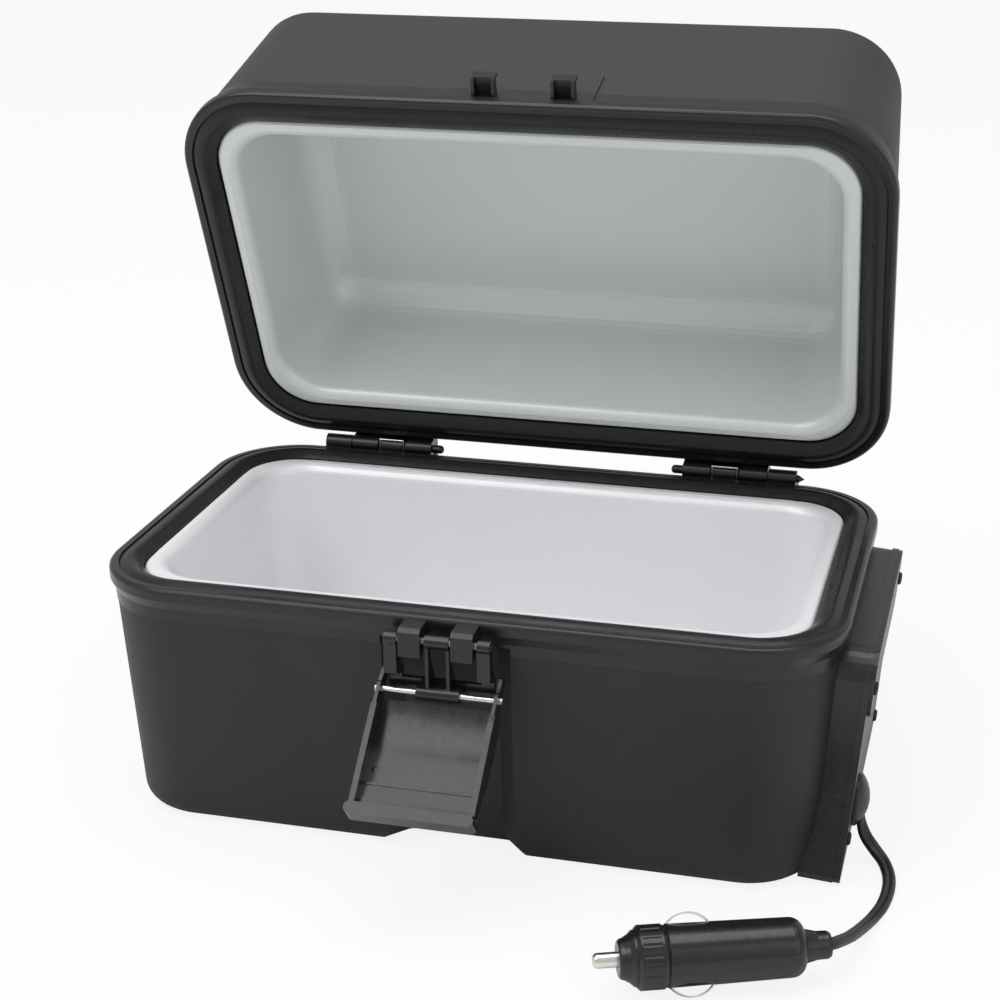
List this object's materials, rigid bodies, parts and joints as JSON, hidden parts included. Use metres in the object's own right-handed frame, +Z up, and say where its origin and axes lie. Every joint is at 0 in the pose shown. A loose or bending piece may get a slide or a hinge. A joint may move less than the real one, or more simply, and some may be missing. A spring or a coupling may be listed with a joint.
{
  "type": "electric lunch box",
  "caption": "Portable 12 volt food warmer: an insulated case with a metal tub, a hinged lid with its own tub, a toggle latch, a side cover and a flat lead to a vehicle plug.",
  "frame": {"origin": "middle of the face that the case stands on, at table height", "axes": "+X along the long side towards the cover with the lead, +Y from the latch towards the hinges, +Z up"},
  "size_m": [0.2867, 0.2972, 0.265],
  "materials": {
    "case_plastic": "fine-grained moulded texture",
    "liner_metal": "brushed, lightly lacquered",
    "gasket_rubber": "smooth black rubber",
    "insulation": "fibre blanket",
    "heater": "foil-faced element",
    "thermal_can": "plated can",
    "wire_red": "wire jacket",
    "cover_plastic": "smooth, slightly glossy",
    "steel": "zinc plated",
    "cord_plastic": "soft flat lead",
    "plug_plastic": "smooth moulding",
    "contact_metal": "nickel plated",
    "fuse_glass": "glass tube",
    "latch_plastic": "glossy moulding"
  },
  "bodies": {
    "case": {"body_shell": "case_plastic", "body_liner": "liner_metal", "body_gasket": "gasket_rubber", "body_insulation": "insulation", "heating_element": "heater", "thermal_fuse": "thermal_can", "inner_wiring": "wire_red", "side_spacer": "cover_plastic", "side_cover": "cover_plastic", "side_cover_screws": "steel", "cord_boss": "cover_plastic", "power_cord": "cord_plastic", "plug_boot": "plug_plastic", "plug_body": "plug_plastic", "plug_ring": "plug_plastic", "plug_nose": "plug_plastic", "plug_tip": "contact_metal", "plug_side_contacts": "contact_metal", "plug_fuse": "fuse_glass", "hinge_pin_left": "steel", "hinge_pin_right": "steel", "hinge_clip_left": "steel", "hinge_clip_right": "steel", "latch_hinge_pin": "steel"},
    "lid": {"lid_shell": "case_plastic", "lid_liner": "liner_metal", "lid_gasket": "gasket_rubber", "lid_insulation": "insulation", "handle_pins": "steel"},
    "latch_link": {"latch_link": "latch_plastic", "latch_pin": "steel"},
    "latch_lever": {"latch_lever": "latch_plastic"},
    "carry_handle": {"carry_handle": "latch_plastic"}
  },
  "joints": [
    {"name": "lid_hinge", "type": "hinge", "parent": "case", "child": "lid", "pos_m": [0, 0.0823, 0.0946], "axis": [1, 0, 0], "range_deg": [0, 69]},
    {"name": "latch_swing", "type": "hinge", "parent": "case", "child": "latch_link", "pos_m": [0, -0.0845, 0.0879], "axis": [-1, 0, 0], "range_deg": [0, 190]},
    {"name": "lever_swing", "type": "hinge", "parent": "latch_link", "child": "latch_lever", "pos_m": [0, -0.0845, 0.0687], "axis": [1, 0, 0], "range_deg": [0, 60]},
    {"name": "handle_fold", "type": "hinge", "parent": "lid", "child": "carry_handle", "pos_m": [0, 0.13141, 0.20161], "axis": [1, 0, 0], "range_deg": [0, 90]}
  ],
  "couplings": [
    {"joint": "lever_swing", "follows": "latch_swing", "ratio": 0.3157}
  ]
}
